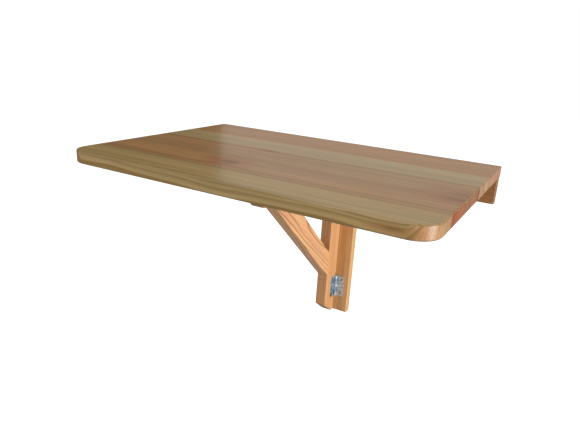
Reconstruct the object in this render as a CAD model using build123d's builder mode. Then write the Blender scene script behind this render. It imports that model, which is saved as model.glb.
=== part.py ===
"""Wall-mounted drop leaf table: an edge-glued top on a wall rail, with a swinging triangular bracket.

Frame: +Z up, +Y into the wall, +X along the wall. The origin is the centre of the rail's wall face.
"""
import os
from math import atan2, cos, degrees, sin

from build123d import *

# Table top
leaf_length = 650
leaf_depth = 450
leaf_thickness = 22
front_corner_radius = 38
back_corner_radius = 3
top_ease = 2.5
board_widths = {
    "table_board_back": 120,
    "table_board_second": 82,
    "table_board_middle": 90,
    "table_board_fourth": 88,
    "table_board_front": 70,
}

# Wall rail and wall post, planed from the same stock
stock_thickness = 18
rail_length = 648
rail_height = 50
post_width = 60
post_right = 49
post_height = 320
stock_ease = 1.5

# Wall screw holes
wall_hole_radius = 2.5
wall_hole_sink_radius = 5
rail_hole_count = 4
rail_hole_spacing = 180
post_hole_x = 33
post_hole_top = -50
post_hole_spacing = 70

# Swinging bracket, 24 x 46 stock with a slightly lower arm
bracket_thickness = 24
bracket_stock = 46
arm_height = 44
bracket_right = 16
bracket_wall_gap = 0.5
bracket_top_gap = 0.3
arm_reach = 348
arm_tip_radius = 14
brace_width = 42
brace_foot_reach = 311
brace_foot_drop = 268
upright_cut_height = 28
upright_cut_depth = 36
cut_corner_radius = 6
bracket_ease = 1

# Dowels
dowel_radius = 4
dowel_length = 50
dowel_clearance = 0.1
dowel_end_gap = 1
dowel_chamfer = 0.8
post_dowel_length = 30
post_dowel_offset = 17
arm_dowel_offset = 11

# Butt hinges, two for the bracket and two for the table top
hinge_height = 50
hinge_reach = 20
knuckle_radius = 2.8
knuckle_count = 5
knuckle_gap = 0.3
plate_thickness = 1.2
plate_corner_radius = 2.5
pin_radius = 1.55
pin_fixed_clearance = 0.02
pin_running_clearance = 0.05
pin_stand = 0.6
bracket_hinge_inset = 63
top_hinge_x = 180
pocket_clearance = 0.3

# Countersunk screws
screw_radius = 1.5
screw_length = 16
screw_point = 4
screw_head_radius = 3.1
screw_head_height = 1.6
screw_reach = 12.5
screw_spacing = 32
sink_clearance = 0.05
pilot_clearance = 0.08
pilot_sink_clearance = 0.32
screw_tip_radius = 0.3
screw_tip_blunt = 0.4
slot_width = 0.9
slot_length = 3.4
slot_depth = 0.8

# Levels and planes worked out from the sizes above
rail_top = rail_height / 2
rail_bottom = -rail_height / 2
post_left = post_right - post_width
post_bottom = rail_bottom - post_height
bracket_left = bracket_right - bracket_thickness
bracket_middle = (bracket_left + bracket_right) / 2
bracket_back = -stock_thickness - bracket_wall_gap
bracket_front = bracket_back - bracket_stock
arm_top = rail_top - bracket_top_gap
arm_bottom = arm_top - arm_height
brace_foot_bottom = rail_top - brace_foot_drop
brace_angle = atan2(arm_bottom - brace_foot_bottom, brace_foot_reach + bracket_front)
bracket_hinge_axis = (bracket_right + knuckle_radius, -stock_thickness - knuckle_radius)
bracket_hinge_levels = {
    "upper": arm_bottom - bracket_hinge_inset,
    "lower": post_bottom + bracket_hinge_inset,
}
top_hinge_axis = (
    -stock_thickness + plate_thickness - knuckle_radius,
    rail_top + plate_thickness - knuckle_radius,
)
top_hinge_places = {"left": -top_hinge_x, "right": top_hinge_x}


def save(piece, name):
    """Label a finished piece and write it to its own file."""
    piece.part.label = name
    export_step(piece.part, f"parts/{name}.step")


def plate_frame(centre, along, wood):
    """Hinge plate frame: X runs out along the plate, Y points into the wood, Z lies on the pin."""
    return Plane(origin=centre, x_dir=along, z_dir=Vector(*along).cross(Vector(*wood)))


def screw_planes(frame):
    """Planes on a plate's open face, one for each screw, facing out of the wood."""
    face = knuckle_radius - plate_thickness
    return [
        Plane(origin=frame.from_local_coords(Vector(screw_reach, face, level)), z_dir=-frame.y_dir)
        for level in (-screw_spacing / 2, screw_spacing / 2)
    ]


def pilot_planes(frame):
    """The same planes moved down onto the wood under the plate."""
    return [plane.offset(-plate_thickness) for plane in screw_planes(frame)]


def drill_pilots(frames):
    """Pilot holes for the screws of the named plates, cut in the piece being built."""
    for frame in frames:
        with Locations(*pilot_planes(frame)):
            CounterSinkHole(
                radius=screw_radius + pilot_clearance,
                counter_sink_radius=screw_head_radius - plate_thickness + pilot_sink_clearance,
                depth=screw_length,
            )


def drill_wall_holes(points):
    """Countersunk holes right through the wall stock, opening at its front face."""
    with Locations(*[Plane(origin=(x, -stock_thickness, z), z_dir=(0, -1, 0)) for x, z in points]):
        CounterSinkHole(
            radius=wall_hole_radius,
            counter_sink_radius=wall_hole_sink_radius,
            depth=stock_thickness,
        )


def drill_dowels(axes, length):
    """Dowel holes cut in the piece being built, a little longer and wider than the dowels."""
    with Locations(*axes):
        Cylinder(dowel_radius + dowel_clearance, length + 2 * dowel_end_gap, mode=Mode.SUBTRACT)


def make_dowels(axes, length, name):
    """A group of dowels, each centred on its joint and chamfered at both ends."""
    with BuildPart() as dowels:
        with Locations(*axes):
            Cylinder(dowel_radius, length)
        chamfer(dowels.edges().filter_by(GeomType.CIRCLE), dowel_chamfer)
    save(dowels, name)


def make_board(name, back, front, hinge_frames=()):
    """One board of the top, cut from the whole rounded panel; the back board is let in for hinges."""
    with BuildPart() as board:
        with BuildSketch(Plane.XY.offset(rail_top)) as outline:
            with Locations((0, -leaf_depth / 2)):
                Rectangle(leaf_length, leaf_depth)
            fillet(outline.vertices().group_by(Axis.Y)[0], front_corner_radius)
            fillet(outline.vertices().group_by(Axis.Y)[-1], back_corner_radius)
        extrude(amount=leaf_thickness)
        fillet(board.faces().filter_by(Axis.Z).edges(), top_ease)
        with BuildSketch(Plane.XY.offset(rail_top)):
            with Locations((0, (back + front) / 2)):
                Rectangle(leaf_length, back - front)
        extrude(amount=leaf_thickness, mode=Mode.INTERSECT)
        for frame in hinge_frames:
            pocket_back = -stock_thickness + plate_thickness
            pocket_front = top_hinge_axis[0] - hinge_reach - pocket_clearance
            with BuildSketch(Plane.XY.offset(rail_top)):
                with Locations((frame.origin.X, (pocket_back + pocket_front) / 2)):
                    Rectangle(hinge_height + 2 * pocket_clearance, pocket_back - pocket_front)
            extrude(amount=plate_thickness, mode=Mode.SUBTRACT)
        drill_pilots(hinge_frames)
    save(board, name)


def make_rail(hinge_frames, dowel_axes):
    """Wall rail under the back edge of the top, let in for the hinge plates."""
    with BuildPart() as rail:
        with BuildSketch(Plane.YZ.offset(-rail_length / 2)):
            with Locations((-stock_thickness / 2, 0)):
                Rectangle(stock_thickness, rail_height)
        extrude(amount=rail_length)
        front_edges = rail.faces().sort_by(Axis.Y)[0].edges()
        fillet(front_edges, stock_ease)
        spots = GridLocations(rail_hole_spacing, 1, rail_hole_count, 1)
        drill_wall_holes([(spot.position.X, 0) for spot in spots])
        for frame in hinge_frames:
            pocket_low = top_hinge_axis[1] - hinge_reach - pocket_clearance
            with BuildSketch(Plane.XZ.offset(stock_thickness)):
                with Locations((frame.origin.X, (rail_top + pocket_low) / 2)):
                    Rectangle(hinge_height + 2 * pocket_clearance, rail_top - pocket_low)
            extrude(amount=-plate_thickness, mode=Mode.SUBTRACT)
        drill_pilots(hinge_frames)
        drill_dowels(dowel_axes, post_dowel_length)
    save(rail, "wall_rail")


def make_post(hinge_frames, dowel_axes):
    """Wall post under the rail, which carries the bracket's hinges."""
    with BuildPart() as post:
        with BuildSketch(Plane.XY.offset(post_bottom)):
            with Locations(((post_left + post_right) / 2, -stock_thickness / 2)):
                Rectangle(post_width, stock_thickness)
        extrude(amount=post_height)
        front = post.faces().sort_by(Axis.Y)[0]
        long_edges = front.edges().filter_by(Axis.Z)
        fillet(long_edges + front.edges().sort_by(Axis.Z)[:1], stock_ease)
        levels = (post_hole_top, post_hole_top - post_hole_spacing)
        drill_wall_holes([(post_hole_x, level) for level in levels])
        drill_pilots(hinge_frames)
        drill_dowels(dowel_axes, post_dowel_length)
    save(post, "wall_post")


def make_upright(hinge_frames, arm_dowel_axes, brace_dowel_axes):
    """Upright of the bracket, with its lower front corner sawn off at a slant."""
    with BuildPart() as upright:
        with BuildSketch(Plane.YZ.offset(bracket_left)) as side:
            with BuildLine():
                Polyline(
                    (bracket_back, arm_bottom),
                    (bracket_front, arm_bottom),
                    (bracket_front, post_bottom + upright_cut_height),
                    (bracket_front + upright_cut_depth, post_bottom),
                    (bracket_back, post_bottom),
                    close=True,
                )
            make_face()
            cut_top = side.vertices().group_by(Axis.X)[0].sort_by(Axis.Y)[0]
            cut_bottom = side.vertices().group_by(Axis.Y)[0].sort_by(Axis.X)[0]
            fillet([cut_top, cut_bottom], cut_corner_radius)
        extrude(amount=bracket_thickness)
        fillet(upright.faces().filter_by(Axis.X).edges().filter_by(Axis.Z), bracket_ease)
        drill_pilots(hinge_frames)
        drill_dowels(arm_dowel_axes, dowel_length)
        drill_dowels(brace_dowel_axes, dowel_length)
    save(upright, "bracket_upright")


def make_arm(arm_dowel_axes, brace_dowel_axes):
    """Arm of the bracket, lying on the upright's top end and rounded under its tip."""
    with BuildPart() as arm:
        with BuildSketch(Plane.YZ.offset(bracket_left)) as side:
            with Locations(((bracket_back - arm_reach) / 2, (arm_top + arm_bottom) / 2)):
                Rectangle(arm_reach + bracket_back, arm_height)
            tip = side.vertices().group_by(Axis.X)[0]
            fillet(tip.sort_by(Axis.Y)[0], arm_tip_radius)
        extrude(amount=bracket_thickness)
        fillet(arm.faces().filter_by(Axis.X).edges().filter_by(Axis.Y), bracket_ease)
        drill_dowels(arm_dowel_axes, dowel_length)
        drill_dowels(brace_dowel_axes, dowel_length)
    save(arm, "bracket_arm")


def make_brace(brace_dowel_axes):
    """Slanted brace, mitred against the upright's front and the arm's underside."""
    rise = brace_width / cos(brace_angle)
    run = brace_width / sin(brace_angle)
    with BuildPart() as brace:
        with BuildSketch(Plane.YZ.offset(bracket_left)):
            with BuildLine():
                Polyline(
                    (-brace_foot_reach, arm_bottom),
                    (bracket_front, brace_foot_bottom),
                    (bracket_front, brace_foot_bottom + rise),
                    (-brace_foot_reach + run, arm_bottom),
                    close=True,
                )
            make_face()
        extrude(amount=bracket_thickness)
        lengthwise = Axis((0, 0, 0), (0, cos(brace_angle), -sin(brace_angle)))
        fillet(brace.faces().filter_by(Axis.X).edges().filter_by(lengthwise), bracket_ease)
        drill_dowels(brace_dowel_axes, dowel_length)
    save(brace, "bracket_brace")


def make_plate(name, frame, knuckles, clearance):
    """One plate of a butt hinge, with its share of the knuckles rolled round the pin."""
    pitch = (hinge_height + knuckle_gap) / knuckle_count
    root = knuckle_radius + knuckle_gap
    with BuildPart() as plate:
        with BuildSketch(frame.offset(-hinge_height / 2)):
            with Locations(((root + hinge_reach) / 2, knuckle_radius - plate_thickness / 2)):
                Rectangle(hinge_reach - root, plate_thickness)
        extrude(amount=hinge_height)
        pin_line = Axis(frame.origin, frame.x_dir)
        outer_corners = plate.edges().filter_by(Axis((0, 0, 0), frame.y_dir)).sort_by(pin_line)[-2:]
        fillet(outer_corners, plate_corner_radius)
        for index in knuckles:
            with BuildSketch(frame.offset(-hinge_height / 2 + index * pitch)):
                Circle(knuckle_radius)
                with Locations((root / 2, knuckle_radius - plate_thickness / 2)):
                    Rectangle(root, plate_thickness)
                Circle(pin_radius + clearance, mode=Mode.SUBTRACT)
            extrude(amount=pitch - knuckle_gap)
        with Locations(*screw_planes(frame)):
            Cone(
                bottom_radius=screw_head_radius - screw_head_height,
                top_radius=screw_head_radius + sink_clearance,
                height=screw_head_height + sink_clearance,
                align=(Align.CENTER, Align.CENTER, Align.MAX),
                mode=Mode.SUBTRACT,
            )
            Cylinder(
                screw_head_radius - plate_thickness + sink_clearance,
                2 * plate_thickness,
                mode=Mode.SUBTRACT,
            )
    save(plate, name)


def make_pin(name, frame):
    """Hinge pin with a rounded end standing a little out of the knuckles at both ends."""
    with BuildPart() as pin:
        with BuildSketch(frame.offset(-hinge_height / 2 - pin_stand)):
            Circle(pin_radius)
        extrude(amount=hinge_height + 2 * pin_stand)
        fillet(pin.edges().filter_by(GeomType.CIRCLE), pin_stand)
    save(pin, name)


def make_screws(name, frames):
    """Countersunk cross-slot screws of the named plates, as one group."""
    planes = [plane for frame in frames for plane in screw_planes(frame)]
    with BuildPart() as screws:
        for plane in planes:
            side = Plane(origin=plane.origin, x_dir=plane.x_dir, z_dir=plane.y_dir)
            with BuildSketch(side):
                with BuildLine():
                    Polyline(
                        (0, 0),
                        (screw_head_radius, 0),
                        (screw_radius, screw_head_height),
                        (screw_radius, screw_length - screw_point),
                        (screw_tip_radius, screw_length - screw_tip_blunt),
                        (0, screw_length - screw_tip_blunt),
                        close=True,
                    )
                make_face()
            revolve(axis=Axis(plane.origin, plane.z_dir))
            with BuildSketch(plane):
                Rectangle(slot_length, slot_width)
                Rectangle(slot_width, slot_length)
            extrude(amount=-slot_depth, mode=Mode.SUBTRACT)
    save(screws, name)


def make_hinge(name, sides, frames):
    """A whole butt hinge: the first plate is fixed to the pin, the second turns round it."""
    make_plate(f"{name}_{sides[0]}", frames[0], range(0, knuckle_count, 2), pin_fixed_clearance)
    make_plate(f"{name}_{sides[1]}", frames[1], range(1, knuckle_count, 2), pin_running_clearance)
    make_pin(f"{name}_pin", frames[0])


os.makedirs("parts", exist_ok=True)

# Hinge plate frames
post_plates = {}
bracket_plates = {}
for side, level in bracket_hinge_levels.items():
    centre = (*bracket_hinge_axis, level)
    post_plates[side] = plate_frame(centre, along=(1, 0, 0), wood=(0, 1, 0))
    bracket_plates[side] = plate_frame(centre, along=(0, -1, 0), wood=(-1, 0, 0))

rail_plates = {}
top_plates = {}
for side, x in top_hinge_places.items():
    centre = (x, *top_hinge_axis)
    rail_plates[side] = plate_frame(centre, along=(0, 0, -1), wood=(0, 1, 0))
    top_plates[side] = plate_frame(centre, along=(0, -1, 0), wood=(0, 0, 1))

# Dowel axes, each centred on the joint that it crosses
post_middle = (post_left + post_right) / 2
post_dowels = [
    Plane(origin=(post_middle + offset, -stock_thickness / 2, rail_bottom), z_dir=(0, 0, 1))
    for offset in (-post_dowel_offset, post_dowel_offset)
]
upright_middle = (bracket_back + bracket_front) / 2
arm_dowels = [
    Plane(origin=(bracket_middle, upright_middle + offset, arm_bottom), z_dir=(0, 0, 1))
    for offset in (-arm_dowel_offset, arm_dowel_offset)
]
brace_direction = (0, -cos(brace_angle), sin(brace_angle))
half_rise = brace_width / cos(brace_angle) / 2
half_run = brace_width / sin(brace_angle) / 2
brace_dowels = [
    Plane(origin=(bracket_middle, bracket_front, brace_foot_bottom + half_rise), z_dir=brace_direction),
    Plane(origin=(bracket_middle, -brace_foot_reach + half_run, arm_bottom), z_dir=brace_direction),
]

# Table top, from the wall outwards
board_back = 0
for board_name, board_width in board_widths.items():
    board_hinges = top_plates.values() if board_back == 0 else ()
    make_board(board_name, board_back, board_back - board_width, list(board_hinges))
    board_back -= board_width

# Wall frame
make_rail(list(rail_plates.values()), post_dowels)
make_post(list(post_plates.values()), post_dowels)
make_dowels(post_dowels, post_dowel_length, "post_dowels")

# Bracket
make_upright(list(bracket_plates.values()), arm_dowels, brace_dowels[:1])
make_arm(arm_dowels, brace_dowels[1:])
make_brace(brace_dowels)
make_dowels(arm_dowels, dowel_length, "arm_dowels")
make_dowels(brace_dowels, dowel_length, "brace_dowels")

# Hinges and their screws
for side in bracket_hinge_levels:
    frames = (post_plates[side], bracket_plates[side])
    make_hinge(f"{side}_bracket_hinge", ("post_plate", "bracket_plate"), frames)
for side in top_hinge_places:
    frames = (rail_plates[side], top_plates[side])
    make_hinge(f"{side}_top_hinge", ("rail_plate", "board_plate"), frames)
make_screws("post_plate_screws", post_plates.values())
make_screws("bracket_plate_screws", bracket_plates.values())
make_screws("rail_plate_screws", rail_plates.values())
make_screws("board_plate_screws", top_plates.values())

print(f"brace angle {degrees(brace_angle):.1f} degrees")
print(f"bracket hinge axis at x {bracket_hinge_axis[0]:.2f}, y {bracket_hinge_axis[1]:.2f}")
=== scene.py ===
# %% [markdown]
# # A wall-mounted drop leaf table in varnished softwood
#
# The table is five boards glued edge to edge, resting on a rail that is screwed to the wall. A
# triangular bracket under the top swings sideways on two small steel hinges. Almost everything that the
# eye sees is timber under clear varnish, so this lesson spends its effort on wood that is solid all the
# way through: one rule colours the faces, the rounded corners and the sawn ends. The shapes come ready
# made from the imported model, and stay as they are.

from math import atan2, cos, degrees, radians, sin

import bpy
from mathutils import Euler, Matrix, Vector


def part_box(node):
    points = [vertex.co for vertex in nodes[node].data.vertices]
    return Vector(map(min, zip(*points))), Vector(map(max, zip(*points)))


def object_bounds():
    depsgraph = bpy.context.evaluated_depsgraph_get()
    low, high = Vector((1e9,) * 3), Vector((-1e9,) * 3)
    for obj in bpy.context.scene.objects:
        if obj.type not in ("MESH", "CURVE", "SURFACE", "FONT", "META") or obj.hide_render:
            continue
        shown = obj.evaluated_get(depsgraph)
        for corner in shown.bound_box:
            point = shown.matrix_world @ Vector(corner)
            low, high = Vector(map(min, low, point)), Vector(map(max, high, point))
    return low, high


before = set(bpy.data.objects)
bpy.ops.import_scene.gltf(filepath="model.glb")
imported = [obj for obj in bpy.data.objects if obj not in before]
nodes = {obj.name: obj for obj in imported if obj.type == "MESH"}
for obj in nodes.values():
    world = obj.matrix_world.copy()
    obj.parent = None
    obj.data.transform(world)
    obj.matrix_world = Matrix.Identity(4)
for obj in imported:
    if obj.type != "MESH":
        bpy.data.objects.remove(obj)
cad_low, cad_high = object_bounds()
print(f"{len(nodes)} CAD nodes, {(cad_high - cad_low).x:.3f} m wide")

# %% [markdown]
# The camera stands to the right of the table, a little above the top and about a metre away, and it is
# held slightly askew. It could be aimed by a constraint that looks at the table, but that would hide the
# small roll, which is what makes the long front edge run downhill. A position and three turns say it
# plainly.

# %% Camera
camera_place = Vector((0.4545, -1.0328, 0.2419))
camera_turns = Euler((radians(71.407), radians(-3.272), radians(30.345)))
camera_lens = 32.28

camera_data = bpy.data.cameras.new("camera")
camera_data.lens = camera_lens
camera = bpy.data.objects.new("camera", camera_data)
camera.location = camera_place
camera.rotation_euler = camera_turns
bpy.context.scene.collection.objects.link(camera)
bpy.context.scene.camera = camera
print("camera", round((camera_place - Vector((0, -0.2, 0))).length, 2), "m away")

# %% [markdown]
# The room is a plain white studio. Real walls could be built round the table, but a plain floor and a
# white world show the wood's own colour better. The table hangs at its working height over the floor.
# The floor and the world are brighter to the camera than they are as lights, because a white backdrop is
# lit on its own, and that keeps it from washing the wood out.

# %% Room
hanging_height = 0.75
floor_width = 18.0
backdrop_light = 1.0
room_light = 0.36

bpy.context.scene.view_settings.view_transform = "Standard"
world = bpy.data.worlds.new("studio")
bpy.context.scene.world = world
world.use_nodes = True
air = world.node_tree
air.nodes.clear()
seen = air.nodes.new("ShaderNodeLightPath")
backdrop = air.nodes.new("ShaderNodeBackground")
backdrop.inputs["Color"].default_value = (1, 1, 1, 1)
backdrop.inputs["Strength"].default_value = backdrop_light
fill = air.nodes.new("ShaderNodeBackground")
fill.inputs["Color"].default_value = (1.0, 0.985, 0.96, 1)
fill.inputs["Strength"].default_value = room_light
either = air.nodes.new("ShaderNodeMixShader")
sky = air.nodes.new("ShaderNodeOutputWorld")
air.links.new(seen.outputs["Is Camera Ray"], either.inputs["Fac"])
air.links.new(fill.outputs["Background"], either.inputs[1])
air.links.new(backdrop.outputs["Background"], either.inputs[2])
air.links.new(either.outputs["Shader"], sky.inputs["Surface"])


def staged_plane(name, centre, turns, width, height, colour, glow):
    """A flat card or floor of the room; glow is how brightly the camera alone sees it."""
    mesh = bpy.data.meshes.new(name)
    half_w, half_h = width / 2, height / 2
    corners = [(-half_w, -half_h, 0), (half_w, -half_h, 0), (half_w, half_h, 0), (-half_w, half_h, 0)]
    mesh.from_pydata(corners, [], [(0, 1, 2, 3)])
    card = bpy.data.objects.new(name, mesh)
    card.location = centre
    card.rotation_euler = turns
    bpy.context.scene.collection.objects.link(card)
    paint = bpy.data.materials.new(name)
    paint.use_nodes = True
    shader = paint.node_tree.nodes["Principled BSDF"]
    shader.inputs["Base Color"].default_value = (*colour, 1)
    shader.inputs["Roughness"].default_value = 0.9
    shader.inputs["Emission Color"].default_value = (1, 1, 1, 1)
    shown = paint.node_tree.nodes.new("ShaderNodeLightPath")
    glowing = paint.node_tree.nodes.new("ShaderNodeMath")
    glowing.operation = "MULTIPLY"
    glowing.inputs[1].default_value = glow
    paint.node_tree.links.new(shown.outputs["Is Camera Ray"], glowing.inputs[0])
    paint.node_tree.links.new(glowing.outputs[0], shader.inputs["Emission Strength"])
    mesh.materials.append(paint)
    return card


staged_plane(
    "floor", centre=(0, 0, -hanging_height), turns=(0, 0, 0), width=floor_width, height=floor_width,
    colour=(0.5, 0.5, 0.5), glow=backdrop_light,
)
print("floor", hanging_height, "m below the rail")

# %% [markdown]
# One soft lamp would show the table, but four things are needed to bring out its shape. A large window on
# the right, level with the table, makes the side faces of the post and the brace glow. A wide ceiling
# light covers the top. A lamp in front, high and a little to the left, keeps the long edge warm, and the
# top itself shades the bracket from it. The haze on the right of the top is the bright room mirrored in
# the varnish, and the clear part on the left mirrors something dark with an upright edge. A dark card
# that only reflections can see gives that same edge.

# %% Lights
def area_light(name, place, target, size, power, colour=(1, 1, 1)):
    """A square soft light aimed at a point."""
    data = bpy.data.lights.new(name, "AREA")
    data.size = size
    data.energy = power
    data.color = colour
    lamp = bpy.data.objects.new(name, data)
    lamp.location = place
    lamp.rotation_euler = (Vector(target) - Vector(place)).to_track_quat("-Z", "Y").to_euler()
    bpy.context.scene.collection.objects.link(lamp)


warm_white = (1.0, 0.97, 0.92)
cool_white = (1.0, 0.98, 0.95)
area_light(
    "window", place=(2.6, -0.45, 0.0), target=(0, -0.15, -0.12), size=1.4, power=58, colour=warm_white,
)
area_light(
    "ceiling", place=(0, -0.35, 2.2), target=(0, -0.25, 0), size=1.6, power=9.5, colour=cool_white,
)
area_light(
    "front_lamp", place=(-0.6, -2.0, 1.7), target=(0, -0.35, 0.03), size=1.0, power=22, colour=warm_white,
)

card_distance = 2.6
card_edge_turn = radians(37.3)
card_half_width = 1.6
card_height = 3.0
edge_place = Vector((-sin(card_edge_turn), cos(card_edge_turn), 0)) * card_distance
along_card = Vector((cos(card_edge_turn), sin(card_edge_turn), 0))
card_centre = Vector((camera_place.x, camera_place.y, 0)) + edge_place - along_card * card_half_width
card_centre.z = cad_high.z + card_height / 2
dark_wall = staged_plane(
    "dark_wall", centre=card_centre, turns=(radians(90), 0, card_edge_turn), width=2 * card_half_width,
    height=card_height, colour=(0.02, 0.02, 0.02), glow=0.0,
)
dark_wall.visible_camera = False
dark_wall.visible_diffuse = False
dark_wall.visible_shadow = False
print("lights and reflected wall in place")

# %% [markdown]
# A material is a graph of nodes. Graphs are long to write out by hand, so a few small helpers carry
# them. `feed` joins a socket to another socket, or writes a plain value into it. `calc` adds a maths node
# and hands back its result, and `vector_calc` does the same for vectors. The others stand for the nodes
# that wood and metal need most: stretched vectors, noise, smooth steps and blends.

# %% Node helpers
def feed(tree, socket, value):
    """Link a socket to another one, or set its plain value."""
    if isinstance(value, bpy.types.NodeSocket):
        tree.links.new(value, socket)
    elif value is not None:
        socket.default_value = value


def calc(tree, operation, *values, clamp=False):
    """A maths node over the given values or sockets."""
    node = tree.nodes.new("ShaderNodeMath")
    node.operation = operation
    node.use_clamp = clamp
    for socket, value in zip(node.inputs, values):
        feed(tree, socket, value)
    return node.outputs[0]


def vector_calc(tree, operation, first, second=None):
    """A vector maths node: a length or a dot product comes back as a value, the rest as vectors."""
    node = tree.nodes.new("ShaderNodeVectorMath")
    node.operation = operation
    feed(tree, node.inputs[0], first)
    feed(tree, node.inputs[1], second)
    return node.outputs["Value" if operation in ("LENGTH", "DOT_PRODUCT") else "Vector"]


def scaled(tree, vector, factors):
    """A vector stretched along its three axes."""
    return vector_calc(tree, "MULTIPLY", vector, factors)


def parts(tree, vector):
    """The X, Y and Z parts of a vector."""
    node = tree.nodes.new("ShaderNodeSeparateXYZ")
    feed(tree, node.inputs["Vector"], vector)
    return node.outputs


def noise(tree, vector, detail=2.0, roughness=0.5):
    """A noise node over a vector that is already stretched; its outputs run from 0 to 1."""
    node = tree.nodes.new("ShaderNodeTexNoise")
    node.inputs["Scale"].default_value = 1.0
    node.inputs["Detail"].default_value = detail
    node.inputs["Roughness"].default_value = roughness
    feed(tree, node.inputs["Vector"], vector)
    return node.outputs


def ramp(tree, value, low, high, low_out=0.0, high_out=1.0):
    """A smooth step of a value from one range to another."""
    node = tree.nodes.new("ShaderNodeMapRange")
    node.interpolation_type = "SMOOTHSTEP"
    for name, number in (("From Min", low), ("From Max", high), ("To Min", low_out), ("To Max", high_out)):
        feed(tree, node.inputs[name], number)
    feed(tree, node.inputs["Value"], value)
    return node.outputs["Result"]


def mix_colour(tree, share, first, second, blend="MIX"):
    """Two colours blended by a share from 0 to 1."""
    node = tree.nodes.new("ShaderNodeMix")
    node.data_type = "RGBA"
    node.blend_type = blend
    feed(tree, node.inputs["Factor"], share)
    feed(tree, node.inputs["A"], first)
    feed(tree, node.inputs["B"], second)
    return node.outputs["Result"]


def flatness(tree, radius):
    """1 on a flat face, and less within a radius of a corner, where the softened surface tilts away."""
    softened = tree.nodes.new("ShaderNodeBevel")
    softened.samples = 4
    feed(tree, softened.inputs["Radius"], radius)
    surface = tree.nodes.new("ShaderNodeNewGeometry")
    return vector_calc(tree, "DOT_PRODUCT", softened.outputs["Normal"], surface.outputs["Normal"])


print("node helpers ready")

# %% [markdown]
# An effect that many materials share is kept in a group, which is a graph with named sockets. It could be
# copied into each material, but then a change would have to be made in every copy. These helpers make a
# group, place one in a material, start a material and give it a bump.

# %% Group and material helpers
def new_group(name, inputs, outputs):
    """An empty node group with named sockets: returns its tree, its input node and its output node."""
    tree = bpy.data.node_groups.new(name, "ShaderNodeTree")
    for socket_name, kind, start in inputs:
        socket = tree.interface.new_socket(socket_name, in_out="INPUT", socket_type=f"NodeSocket{kind}")
        if start is not None:
            socket.default_value = start
    for socket_name, kind in outputs:
        tree.interface.new_socket(socket_name, in_out="OUTPUT", socket_type=f"NodeSocket{kind}")
    return tree, tree.nodes.new("NodeGroupInput").outputs, tree.nodes.new("NodeGroupOutput").inputs


def place_group(tree, group, **values):
    """Put a group in a material and feed its inputs, whose spaces are written as underscores."""
    node = tree.nodes.new("ShaderNodeGroup")
    node.node_tree = group
    for name, value in values.items():
        feed(tree, node.inputs[name.replace("_", " ")], value)
    return node.outputs


def new_material(name):
    """A new finish: returns the material, its tree, its shader and its texture coordinates."""
    material = bpy.data.materials.new(name)
    material.use_nodes = True
    tree = material.node_tree
    return material, tree, tree.nodes["Principled BSDF"], tree.nodes.new("ShaderNodeTexCoord").outputs


def add_bump(tree, shader, height, strength, distance):
    """Let a height disturb the surface; the distance is in metres."""
    bump = tree.nodes.new("ShaderNodeBump")
    bump.inputs["Strength"].default_value = strength
    bump.inputs["Distance"].default_value = distance
    feed(tree, bump.inputs["Height"], height)
    feed(tree, shader.inputs["Normal"], bump.outputs["Normal"])


print("group helpers ready")

# %% [markdown]
# A tree grows in nested cones, so a sawn piece of wood is a set of rings cut by flat faces. Grain could
# be painted on each face, but it would break at every corner. The group below is solid instead: it
# measures how far each point is from the heart of the log, which runs along the group's X axis, so the
# ends show arcs without any special case.

# %% Timber group, its sockets
timber, given, result = new_group(
    "timber",
    [
        ("Vector", "Vector", None),
        ("Early Wood", "Color", (0.6, 0.4, 0.2, 1)),
        ("Late Wood", "Color", (0.3, 0.15, 0.06, 1)),
        ("Blush", "Color", (0.6, 0.3, 0.15, 1)),
        ("End Tint", "Color", (0.8, 0.8, 0.8, 1)),
        ("End Contrast", "Float", 1.1),
        ("Blush Amount", "Float", 0.4),
        ("Ring Width", "Float", 0.005),
        ("Late Start", "Float", 0.2),
        ("Wander", "Float", 0.008),
        ("Wander Pace", "Vector", (2.2, 11, 11)),
        ("Contrast", "Float", 0.6),
        ("Swell", "Float", 0.0),
        ("End Grain", "Float", 0.0),
    ],
    [("Colour", "Color"), ("Fibre", "Float")],
)
print("timber group takes", len(given) - 1, "inputs")

# %% [markdown]
# Each year starts with pale early wood, which darkens slowly and stops short at the winter line. Evenly
# spaced rings would look turned on a lathe, so the years bunch and spread, no two winters are equally
# dark, and the log itself wanders from side to side.

# %% Timber group, the rings
# Where in the year the winter line is darkest, and where the next spring starts
winter_peak = 0.88
spring_start = 0.9
palest_winter = 0.5
winter_spread = 0.75
# How many years the rings may bunch by, and how quickly that changes from year to year
bunching = 2.2
bunching_pace = 0.45

slow = noise(timber, scaled(timber, given["Vector"], given["Wander Pace"]))
bend = vector_calc(timber, "SUBTRACT", slow["Color"], (0.5, 0.5, 0.5))
amount = timber.nodes.new("ShaderNodeCombineXYZ")
for axis in "YZ":
    feed(timber, amount.inputs[axis], given["Wander"])
shift = scaled(timber, bend, amount.outputs["Vector"])
across = parts(timber, vector_calc(timber, "ADD", given["Vector"], shift))
side = calc(timber, "POWER", across["Y"], 2.0)
depth = calc(timber, "POWER", across["Z"], 2.0)
radius = calc(timber, "ADD", calc(timber, "SQRT", calc(timber, "ADD", side, depth)), given["Swell"])
year = calc(timber, "DIVIDE", radius, given["Ring Width"])
uneven = timber.nodes.new("ShaderNodeTexNoise")
uneven.noise_dimensions = "1D"
uneven.inputs["Scale"].default_value = bunching_pace
uneven.inputs["Detail"].default_value = 1.0
feed(timber, uneven.inputs["W"], year)
year = calc(timber, "ADD", year, calc(timber, "MULTIPLY", uneven.outputs[0], bunching))
season = calc(timber, "FRACT", year)
winter_line = ramp(timber, season, given["Late Start"], winter_peak)
spring_edge = ramp(timber, season, spring_start, 1.0, 1.0, 0.0)
harsh = timber.nodes.new("ShaderNodeTexWhiteNoise")
harsh.noise_dimensions = "1D"
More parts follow.
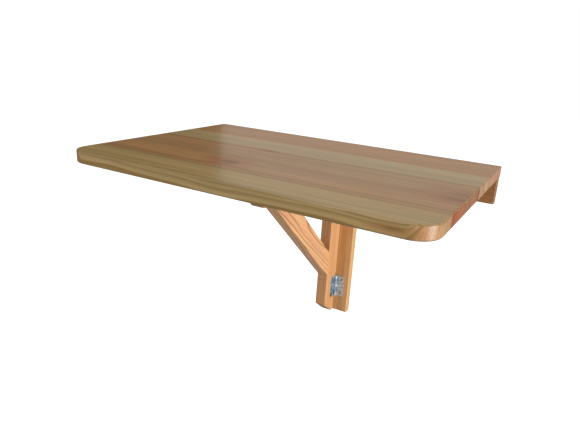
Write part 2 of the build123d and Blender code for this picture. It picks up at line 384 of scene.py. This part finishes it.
feed(timber, harsh.inputs["W"], calc(timber, "FLOOR", year))
darkness = calc(timber, "MULTIPLY_ADD", harsh.outputs["Value"], winter_spread, palest_winter)
winter = calc(timber, "MULTIPLY", calc(timber, "MULTIPLY", winter_line, spring_edge), darkness)
print("rings made, winter at", winter_peak, "of the year")

# %% [markdown]
# Rings alone look printed. Real boards also have fine fibres that streak along the log, clouds of paler
# and darker wood, bands of red blush, and resin canals that leave short dark dashes. Each is noise that
# is stretched along the grain. A sawn end drinks more varnish, so it takes a tint of its own.

# %% Timber group, the colours
# Waves per metre of each effect, along the grain and across it
fibre_pace = (9, 620, 620)
cloud_pace = (1.6, 26, 26)
blush_pace = (2.6, 85, 85)
canal_pace = (40, 640, 640)
# The darkest and the lightest that fibres and clouds make the wood
fibre_shades = (0.87, 1.1)
cloud_shades = (0.92, 1.08)
canal_darkness = 0.35
# Below the first limit there is none of the effect, and above the second all of it
blush_limits = (0.42, 0.68)
canal_limits = (0.66, 0.74)
end_limits = (0.08, 0.5)
end_shade = (0.62, 0.5, 0.42, 1)

fibre = noise(timber, scaled(timber, given["Vector"], fibre_pace), detail=3.0, roughness=0.65)[0]
tone = noise(timber, scaled(timber, given["Vector"], cloud_pace), detail=1.0)[0]
band = noise(timber, scaled(timber, given["Vector"], blush_pace), detail=3.0, roughness=0.6)[0]
canal = noise(timber, scaled(timber, given["Vector"], canal_pace), detail=1.0)[0]

blush_share = calc(timber, "MULTIPLY", ramp(timber, band, *blush_limits), given["Blush Amount"])
pale_wood = mix_colour(timber, blush_share, given["Early Wood"], given["Blush"])
face_share = calc(timber, "MULTIPLY", winter, given["Contrast"], clamp=True)
face_wood = mix_colour(timber, face_share, pale_wood, given["Late Wood"])

end_dark = mix_colour(timber, 1.0, given["Late Wood"], end_shade, blend="MULTIPLY")
end_share = calc(timber, "MULTIPLY", winter, given["End Contrast"], clamp=True)
end_ring = mix_colour(timber, end_share, pale_wood, end_dark)
end_wood = mix_colour(timber, 1.0, end_ring, given["End Tint"], blend="MULTIPLY")

grain = mix_colour(timber, ramp(timber, given["End Grain"], *end_limits), face_wood, end_wood)
canal_share = ramp(timber, canal, *canal_limits, 0.0, canal_darkness)
grain = mix_colour(timber, canal_share, grain, given["Late Wood"])
streak = ramp(timber, fibre, 0.32, 0.7, *fibre_shades)
cloud = ramp(timber, tone, 0.3, 0.7, *cloud_shades)
tinted = timber.nodes.new("ShaderNodeVectorMath")
tinted.operation = "SCALE"
feed(timber, tinted.inputs[0], grain)
feed(timber, tinted.inputs["Scale"], calc(timber, "MULTIPLY", streak, cloud))
feed(timber, result["Colour"], tinted.outputs["Vector"])
feed(timber, result["Fibre"], fibre)
print("timber group has", len(timber.nodes), "nodes")

# %% [markdown]
# A knot is a branch cut through. A dark spot alone would look like a stain, because close to a real knot
# the rings swell aside and the wood reddens, and the branch itself is darker with a ragged edge. So the
# group gives three things: the push that the rings need, a mask for the dark heart and a wider one for
# the halo.

# %% Knot group
knot, given, result = new_group(
    "knot",
    [
        ("Vector", "Vector", None),
        ("Centre", "Vector", (0, 0, 0)),
        ("Size", "Vector", (0.02, 0.01, 0.05)),
        ("Push", "Float", 0.01),
    ],
    [("Swell", "Float"), ("Heart", "Float"), ("Halo", "Float")],
)
# How far the swelling, the heart and the halo reach, in sizes of the knot
swell_reach = 4.0
heart_reach = 1.15
halo_reach = 3.2
fray_pace = (220, 420, 420)
fray_depth = 0.9

apart = vector_calc(knot, "SUBTRACT", given["Vector"], given["Centre"])
reach = vector_calc(knot, "LENGTH", vector_calc(knot, "DIVIDE", apart, given["Size"]))
bulge = ramp(knot, reach, 0.3, swell_reach, 1.0, 0.0)
feed(knot, result["Swell"], calc(knot, "MULTIPLY", bulge, given["Push"]))
ragged = noise(knot, scaled(knot, given["Vector"], fray_pace))[0]
fray = calc(knot, "MULTIPLY", calc(knot, "SUBTRACT", ragged, 0.5), fray_depth)
edge = calc(knot, "ADD", reach, fray)
feed(knot, result["Heart"], ramp(knot, edge, 0.35, heart_reach, 1.0, 0.0))
feed(knot, result["Halo"], ramp(knot, edge, 0.8, halo_reach, 1.0, 0.0))
print("knot group has", len(knot.nodes), "nodes")

# %% [markdown]
# Varnish is a thin clear layer over the wood. A second skin of mesh could stand for it, but the shader's
# own coat is that layer already, so this group only says how it varies. It lies flat on the faces, thins
# over the corners where hands and sanding have been, and is never quite level. The group gives a
# roughness, a faint height for the bump, and a mask of the corners. The mask stands for wear here, and the
# timber materials also lay painted light on it: a pale painted highlight on most pieces, and a dark
# painted shade on the top.

# %% Varnish group
varnish, given, result = new_group(
    "varnish",
    [
        ("Vector", "Vector", None),
        ("Fibre", "Float", 0.5),
        ("Gloss", "Float", 0.3),
        ("Corner", "Float", 0.003),
    ],
    [("Roughness", "Float"), ("Height", "Float"), ("Worn And Lit", "Float")],
)
# How flat the surface still is where wear starts, and where it is complete
worn_limits = (0.97, 0.8)
smear_pace = (9, 14, 14)
gloss_spread = 0.12
worn_roughness = 0.3
fibre_relief = 0.25

# The corner mask: wear for the roughness, and in the timber colour also painted highlight and painted shade
worn_and_lit = ramp(varnish, flatness(varnish, given["Corner"]), *worn_limits)
smear = noise(varnish, scaled(varnish, given["Vector"], smear_pace))[0]
uneven_gloss = calc(varnish, "MULTIPLY", calc(varnish, "SUBTRACT", smear, 0.5), gloss_spread)
rough = calc(varnish, "ADD", given["Gloss"], uneven_gloss)
rough = calc(varnish, "ADD", rough, calc(varnish, "MULTIPLY", worn_and_lit, worn_roughness))
feed(varnish, result["Roughness"], rough)
feed(varnish, result["Height"], calc(varnish, "MULTIPLY_ADD", given["Fibre"], fibre_relief, smear))
feed(varnish, result["Worn And Lit"], worn_and_lit)
print("varnish group has", len(varnish.nodes), "nodes")

# %% [markdown]
# Three things are laid over the plain grain. Knots darken and redden it. A dark line runs along one edge
# and shows only on the top face: along a glue joint it is the joint's own colour, and along the wall it is
# painted shade. The corners take a colour of their own, partly wear and partly painted light, and on the
# top the whole rounding between the level face and the upright edge is painted darker as painted shade.
# Each could be part of the timber group, but most pieces need none of them, so they are helpers that a
# material can call.

# %% Knots, dark lines, wear and painted shade
# A dark line along an edge of the top: on the glue joint it is the joint's colour, along the wall it is
# painted shade
joint_and_shade_width = 0.0045
joint_and_shade_darkness = 0.6
joint_and_shade_colour = (0.15, 0.07, 0.03, 1)
halo_strength = 0.6
# What the halo and the heart of a knot do to the red, green and blue of the late wood
halo_shade = (1.3, 1.0, 1.0)
heart_shade = (0.40, 0.42, 0.50)


def shaded(colour, shade):
    """A colour with each part multiplied, ready for a socket."""
    return (*(part * factor for part, factor in zip(colour, shade)), 1)


def grow_knots(tree, place, knots):
    """The swelling of the rings and the masks of the hearts and halos, for all the knots of a board."""
    swell = 0.0
    hearts = 0.0
    halos = 0.0
    for centre, size, push, darkness in knots:
        branch = place_group(tree, knot, Vector=place, Centre=centre, Size=size, Push=push)
        swell = calc(tree, "ADD", swell, branch["Swell"])
        hearts = calc(tree, "MAXIMUM", hearts, calc(tree, "MULTIPLY", branch["Heart"], darkness))
        halos = calc(tree, "MAXIMUM", halos, branch["Halo"])
    return swell, hearts, halos


def colour_knots(tree, colour, late, hearts, halos):
    """The grain with its knots reddened and darkened."""
    halo_share = calc(tree, "MULTIPLY", halos, halo_strength)
    colour = mix_colour(tree, halo_share, colour, shaded(late, halo_shade))
    return mix_colour(tree, hearts, colour, shaded(late, heart_shade))


def draw_joint_and_shade_line(tree, colour, place, upward, dark_line_y):
    """The grain with a dark line along one edge of the top face, for a glue joint and for painted shade by
    the wall; the last argument is the edge's Y.
    """
    gap = calc(tree, "ABSOLUTE", calc(tree, "SUBTRACT", parts(tree, place)["Y"], dark_line_y))
    on_top = ramp(tree, upward, 0.3, 0.8)
    line = calc(tree, "MULTIPLY", ramp(tree, gap, 0.0005, joint_and_shade_width, joint_and_shade_darkness, 0.0), on_top)
    return mix_colour(tree, line, colour, joint_and_shade_colour)


# On the top's boards this rounding is painted darker, as painted shade
def rounding(tree, upward):
    """A mask of the surface that is neither level nor upright."""
    tilt = calc(tree, "ABSOLUTE", upward)
    off_level = ramp(tree, tilt, 0.8, 0.98, 1.0, 0.0)
    off_plumb = ramp(tree, tilt, 0.05, 0.35)
    return calc(tree, "MULTIPLY", off_level, off_plumb)


print("knots, seams and wear ready")

# %% [markdown]
# No two boards come from the same log. One material for all of them would be shorter, but the top would
# look moulded. So every piece of timber gets its own material from one function. Each says which way its
# grain runs, where the heart of the log was, its colours and its knots. The grain is turned by a Mapping
# node, and the surface's direction is turned with it, so the sawn ends are wherever the surface faces
# along the grain, on the sloping brace too. The piece's own coordinates stay with it when the bracket
# swings.

# %% Timber material
ALONG_X = (0, 0, 0)
ALONG_Y = (0, 0, radians(-90))
ALONG_Z = (0, radians(90), 0)
# What is left of the varnish coat on worn edges and on sawn ends
coat_on_worn = 0.15
coat_on_ends = 0.3
coat_roughness = 0.15


def along_grain(tree, kind, vector, turn, heart=(0, 0, 0)):
    """A point or a direction, turned so that X runs along the grain."""
    node = tree.nodes.new("ShaderNodeMapping")
    node.vector_type = kind
    feed(tree, node.inputs["Vector"], vector)
    node.inputs["Rotation"].default_value = turn
    if kind == "POINT":
        node.inputs["Location"].default_value = heart
    return node.outputs["Vector"]


# The pale corner colour given by default is partly wear and partly a painted highlight on the edges
def timber_material(
    name, heart, early, late, ring_width, blush=None, blush_amount=0.4,
    end_tint=(0.8, 0.75, 0.7), end_contrast=1.1, grain_turn=ALONG_X, wander=0.008, pace=(2.2, 11, 11),
    contrast=0.6, late_start=0.2, gloss=0.32, coat=0.42,
    corner=(0.85, 0.66, 0.42), corner_wear_light_share=0.12, rounded=False, knots=(), dark_line_y=None,
):
    """A varnished timber: heart moves the log's centre line, in metres, within the piece's turned frame."""
    material, tree, shader, coordinates = new_material(name)
    place = coordinates["Object"]
    upward = parts(tree, coordinates["Normal"])["Z"]
    facing = along_grain(tree, "VECTOR", coordinates["Normal"], grain_turn)
    end = calc(tree, "ABSOLUTE", parts(tree, facing)["X"])
    swell, hearts, halos = grow_knots(tree, place, knots)
    wood = place_group(
        tree, timber, Vector=along_grain(tree, "POINT", place, grain_turn, heart),
        Early_Wood=(*early, 1), Late_Wood=(*late, 1), Blush=(*(blush or early), 1),
        Blush_Amount=blush_amount, End_Tint=(*end_tint, 1), End_Contrast=end_contrast,
        Ring_Width=ring_width, Late_Start=late_start, Wander=wander, Wander_Pace=pace,
        Contrast=contrast, Swell=swell, End_Grain=end,
    )
    colour = wood["Colour"]
    if knots:
        colour = colour_knots(tree, colour, late, hearts, halos)
    # A dark line on the top face: painted shade along the wall on the back board, a dark glue joint on the
    # fourth
    if dark_line_y is not None:
        colour = draw_joint_and_shade_line(tree, colour, place, upward, dark_line_y)
    film = place_group(tree, varnish, Vector=place, Fibre=wood["Fibre"], Gloss=gloss)
    # The corner mask is worn varnish, and the colour laid on it is partly painted light: the default pale
    # one adds a painted highlight, and the top's boards add their rounding to the mask and lay a painted
    # shade.
    worn_and_lit = film["Worn And Lit"]
    if rounded:
        worn_and_lit = calc(tree, "MAXIMUM", worn_and_lit, rounding(tree, upward))
    corners_worn_and_lit = mix_colour(tree, calc(tree, "MULTIPLY", worn_and_lit, corner_wear_light_share), colour, (*corner, 1))
    feed(tree, shader.inputs["Base Color"], corners_worn_and_lit)
    feed(tree, shader.inputs["Roughness"], film["Roughness"])
    coat_left = calc(tree, "MULTIPLY_ADD", worn_and_lit, coat_on_worn - 1.0, 1.0)
    coat_by_end = ramp(tree, end, 0.4, 0.9, coat, coat * coat_on_ends)
    feed(tree, shader.inputs["Coat Weight"], calc(tree, "MULTIPLY", coat_by_end, coat_left))
    shader.inputs["Coat Roughness"].default_value = coat_roughness
    add_bump(tree, shader, film["Height"], strength=0.12, distance=0.0006)
    return material


def dress(node_name, material):
    """Give a CAD node one finished material, in place of what it came with."""
    mesh = nodes[node_name].data
    mesh.materials.clear()
    mesh.materials.append(material)


print("timber material ready")

# %% [markdown]
# The five boards of the top differ: the front and second boards are pale sapwood, and the others are
# warmer heartwood. A heart far from the face gives straight lines, and a heart close under it gives the
# long flames of a flat-sawn board, so each board's heart is chosen rather than left to chance. Knots are
# placed on the face from the table's left end and front edge, as a maker would mark them out. One dark
# streak lies across the joint of two boards, so both boards are given it.
#
# The rounded edges of the top carry less varnish, and they are painted darker than the faces: painted shade
# that tones down the bright line the lamps put along them.
# The top face also gets a dark line along two edges. Along the wall it is painted shade where the top meets
# the wall, and behind the front board it is the dark glue joint. A narrow streak of resin runs along the
# front edge and ends near its right corner. It is made as a knot that doesn't push the rings aside.

# %% Table top
wall_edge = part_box("table_board_back")[1].y
front_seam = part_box("table_board_front")[1].y


def branch_at(from_left, from_front, size, push, darkness):
    """A knot on the top face, measured from the table's left end and front edge."""
    return (cad_low.x + from_left, cad_low.y + from_front, cad_high.z), size, push, darkness


# A dark brown laid over the top's whole rounded edges: painted shade, which tones down their lit line
top_edge_shade = (0.27, 0.18, 0.07)
top_edge_shade_share = 0.7
joint_knot = branch_at(0.258, 0.247, (0.032, 0.006, 0.03), 0.004, 0.6)
resin_from_left = 0.598
resin_below_face = 0.0115
resin_place = (cad_low.x + resin_from_left, cad_low.y, cad_high.z - resin_below_face)
resin_streak = (resin_place, (0.018, 0.008, 0.0030), 0.0, 0.35)
boards = {
    # The back board's dark line along the wall is painted shade, the fourth board's is its glue joint
    "table_board_back": dict(
        heart=(0.3, -0.06, 0.03), early=(0.53, 0.282, 0.092), late=(0.35, 0.15, 0.048), ring_width=0.0075,
        blush=(0.60, 0.25, 0.085), blush_amount=0.7, end_tint=(1.15, 1.22, 2.3), dark_line_y=wall_edge,
    ),
    "table_board_second": dict(
        heart=(1.1, 0.30, 0.05), early=(0.51, 0.365, 0.165), late=(0.41, 0.265, 0.11), ring_width=0.0065,
        contrast=0.4, blush=(0.52, 0.33, 0.15), end_tint=(1.06, 0.95, 1.13), knots=[joint_knot],
    ),
    "table_board_middle": dict(
        heart=(2.4, 0.06, 0.02), early=(0.46, 0.272, 0.112), late=(0.30, 0.145, 0.05), ring_width=0.0065,
        blush=(0.55, 0.255, 0.098), blush_amount=0.6, end_tint=(0.76, 0.50, 0.38), end_contrast=1.6,
        knots=[joint_knot, branch_at(0.645, 0.180, (0.028, 0.018, 0.05), 0.012, 0.25)],
    ),
    "table_board_fourth": dict(
        heart=(3.2, 0.16, 0.0), early=(0.47, 0.275, 0.112), late=(0.30, 0.132, 0.044), ring_width=0.0085,
        contrast=0.75, blush=(0.56, 0.25, 0.098), blush_amount=0.6, end_tint=(1.0, 0.48, 0.15),
        end_contrast=1.8, dark_line_y=front_seam,
        knots=[
            branch_at(0.265, 0.117, (0.022, 0.014, 0.05), 0.014, 0.6),
            branch_at(0.232, 0.124, (0.012, 0.007, 0.04), 0.008, 0.15),
            branch_at(0.641, 0.148, (0.028, 0.013, 0.04), 0.012, 0.35),
        ],
    ),
    "table_board_front": dict(
        heart=(4.5, 0.20, 0.02), early=(0.475, 0.342, 0.150), late=(0.29, 0.172, 0.045), ring_width=0.0022,
        contrast=0.8, blush=(0.56, 0.34, 0.128), blush_amount=0.55, wander=0.016,
        end_tint=(1.02, 0.82, 0.90), end_contrast=0.5, knots=[resin_streak],
    ),
}
for board_name, look in boards.items():
    dress(board_name, timber_material(
        f"{board_name}_wood", corner=top_edge_shade, corner_wear_light_share=top_edge_shade_share, rounded=True, **look,
    ))
print(len(boards), "boards dressed")

# %% [markdown]
# The rail and the post are planed from thin stock, and the bracket from thicker stock. A workshop cuts
# each piece along its own grain, so the group's X axis is turned to match: along the rail, up the post,
# and down the slope of the brace. The slope comes from the brace's own box, so it follows the model. The
# brace wasn't sawn quite along the log, so its grain runs out by a few degrees and shows as long flames.
# The dowels are plain unvarnished wood, hidden in their holes.

# %% Wall frame and bracket
brace_low, brace_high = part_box("bracket_brace")
slope = atan2(brace_high.z - brace_low.z, brace_high.y - brace_low.y)
grain_run_out = radians(5)
ALONG_BRACE = (slope - grain_run_out, 0, radians(90))

stock = {
    "wall_rail": dict(
        heart=(6.0, 0.05, 0.06), early=(0.50, 0.235, 0.085), late=(0.33, 0.13, 0.04), ring_width=0.0045,
        blush=(0.50, 0.21, 0.07),
    ),
    "wall_post": dict(
        heart=(5.2, 0.06, 0.03), early=(0.76, 0.45, 0.20), late=(0.54, 0.27, 0.09), ring_width=0.0040,
        blush=(0.78, 0.41, 0.17), grain_turn=ALONG_Z,
    ),
    "bracket_upright": dict(
        heart=(3.1, 0.02, 0.05), early=(0.73, 0.40, 0.185), late=(0.48, 0.20, 0.07), ring_width=0.0050,
        blush=(0.78, 0.36, 0.16), grain_turn=ALONG_Z, late_start=0.5, contrast=0.5,
    ),
    "bracket_arm": dict(
        heart=(1.3, 0.05, 0.04), early=(0.60, 0.34, 0.15), late=(0.42, 0.20, 0.08), ring_width=0.0046,
        grain_turn=ALONG_Y,
    ),
    "bracket_brace": dict(
        heart=(2.3, 0.03, 0.17), early=(0.78, 0.44, 0.20), late=(0.36, 0.16, 0.055), ring_width=0.0072,
        blush=(0.82, 0.37, 0.22), blush_amount=0.7, grain_turn=ALONG_BRACE, contrast=0.95, late_start=0.66,
        wander=0.034, pace=(3.2, 7, 7),
    ),
}
for piece_name, look in stock.items():
    dress(piece_name, timber_material(f"{piece_name}_wood", gloss=0.42, coat=0.15, **look))
for piece_name in ("post_dowels", "arm_dowels", "brace_dowels"):
    dress(piece_name, timber_material(
        f"{piece_name}_wood", heart=(1.0, 0.02, 0.01), early=(0.75, 0.57, 0.36), late=(0.6, 0.42, 0.24),
        ring_width=0.003, grain_turn=ALONG_Z, gloss=0.6, coat=0.0,
    ))
print(len(stock), "frame pieces dressed, brace at", round(degrees(slope), 1), "degrees")

# %% [markdown]
# The hinges and screws are zinc-plated steel. A plain grey metal would look like plastic at this size.
# Real zinc is a soft blue-grey, faintly brushed along the rolled strip and a little cloudy. Its edges are
# painted dark, a painted shade line round each plate. The plating never takes its blue evenly, and the
# plates on the bracket are the bluer ones. The screws are painted darker than the plates: their heads lie
# low in their seats, and the darker colour is the painted shade of those seats.

# %% Zinc group
zinc, given, result = new_group(
    "zinc",
    [
        ("Vector", "Vector", None),
        ("Brush", "Vector", (60, 900, 900)),
        ("Dull", "Color", (0.4, 0.5, 0.6, 1)),
        ("Bright", "Color", (0.8, 0.85, 0.9, 1)),
        ("Edge", "Float", 0.0008),
    ],
    [("Colour", "Color"), ("Roughness", "Float"), ("Height", "Float")],
)
mottle_pace = (140, 140, 140)
roughness_range = (0.26, 0.42)
# Plate edges darken toward near black: painted shade along the edges
edge_shade_limits = (0.98, 0.85)
edge_shade_share = 0.55
edge_shade_colour = (0.10, 0.12, 0.14, 1)

brushed = noise(zinc, scaled(zinc, given["Vector"], given["Brush"]), detail=3.0)[0]
cloudy = noise(zinc, scaled(zinc, given["Vector"], mottle_pace))[0]
edge_shade = ramp(zinc, flatness(zinc, given["Edge"]), *edge_shade_limits, 0.0, edge_shade_share)
metal = mix_colour(zinc, ramp(zinc, cloudy, 0.35, 0.65), given["Dull"], given["Bright"])
feed(zinc, result["Colour"], mix_colour(zinc, edge_shade, metal, edge_shade_colour))
feed(zinc, result["Roughness"], ramp(zinc, brushed, 0.3, 0.7, *roughness_range))
feed(zinc, result["Height"], brushed)
print("zinc group has", len(zinc.nodes), "nodes")

# %% [markdown]
# A hinge plate is one sheet of metal, so it needs one material that knows which way the strip was rolled:
# up the standing hinges and along the level ones. The metal could share one look, but a darker screw and
# a bluer plate cost only two colours each.

# %% Zinc materials
def zinc_material(name, brush, dull, bright):
    """Zinc plate with its brushing along one direction, between a dull and a bright shade."""
    material, tree, shader, coordinates = new_material(name)
    plate = place_group(
        tree, zinc, Vector=coordinates["Object"], Brush=brush, Dull=(*dull, 1), Bright=(*bright, 1),
    )
    feed(tree, shader.inputs["Base Color"], plate["Colour"])
    feed(tree, shader.inputs["Roughness"], plate["Roughness"])
    shader.inputs["Metallic"].default_value = 1.0
    add_bump(tree, shader, plate["Height"], strength=0.08, distance=0.0002)
    return material


rolled_upright = (900, 900, 60)
rolled_level = (60, 900, 900)
plate_dull = (0.50, 0.60, 0.70)
plate_bright = (0.84, 0.90, 0.95)
upright_zinc = zinc_material("hinge_zinc_upright", rolled_upright, plate_dull, plate_bright)
bluer_zinc = zinc_material("hinge_zinc_bluer", rolled_upright, (0.24, 0.40, 0.54), (0.74, 0.86, 0.95))
level_zinc = zinc_material("hinge_zinc_level", rolled_level, plate_dull, plate_bright)
# The screws' darker colours are painted shade for the seats their heads lie in
screw_zinc = zinc_material("screw_zinc", (500, 500, 500), (0.22, 0.28, 0.36), (0.42, 0.50, 0.58))
for node_name in nodes:
    if node_name.endswith("bracket_plate"):
        dress(node_name, bluer_zinc)
    elif "bracket_hinge" in node_name:
        dress(node_name, upright_zinc)
    elif "top_hinge" in node_name:
        dress(node_name, level_zinc)
    elif node_name.endswith("_screws"):
        dress(node_name, screw_zinc)
print("steel dressed")
